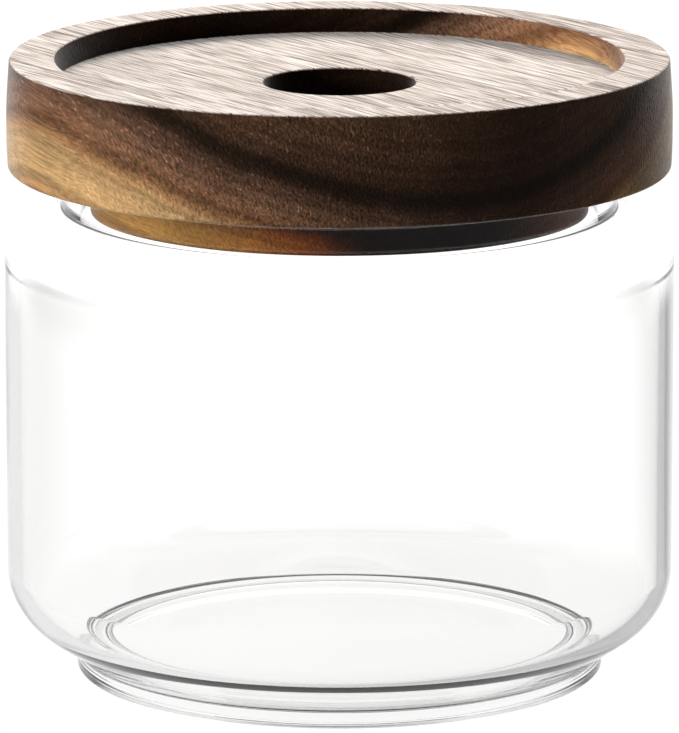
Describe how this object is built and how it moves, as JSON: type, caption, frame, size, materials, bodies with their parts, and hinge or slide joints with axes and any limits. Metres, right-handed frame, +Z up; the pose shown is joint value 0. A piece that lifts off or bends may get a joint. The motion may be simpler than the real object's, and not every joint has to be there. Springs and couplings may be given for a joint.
{
  "type": "glass storage canister",
  "caption": "Round clear glass jar with a turned wooden lid that lifts off by a blind finger hole; the recessed lid takes the foot of a jar stacked on top.",
  "frame": {"origin": "centre of the plane that the foot ring rests on", "axes": "+Z up along the axis that the jar, the seal ring and the lid share; +X and +Y are equal, because every piece is turned"},
  "size_m": [0.105, 0.105, 0.0974],
  "materials": {
    "clear_glass": "clear, fire polished",
    "acacia_wood": "fine sanded, thin satin oil",
    "silicone_seal": "matt, milky"
  },
  "bodies": {
    "jar": {"glass_jar": "clear_glass"},
    "lid": {"wooden_lid": "acacia_wood", "seal_ring": "silicone_seal"}
  },
  "joints": [
    {"name": "lid_lift", "type": "slide", "parent": "jar", "child": "lid", "axis": [0, 0, 1], "range_m": [0, 0.06]}
  ]
}
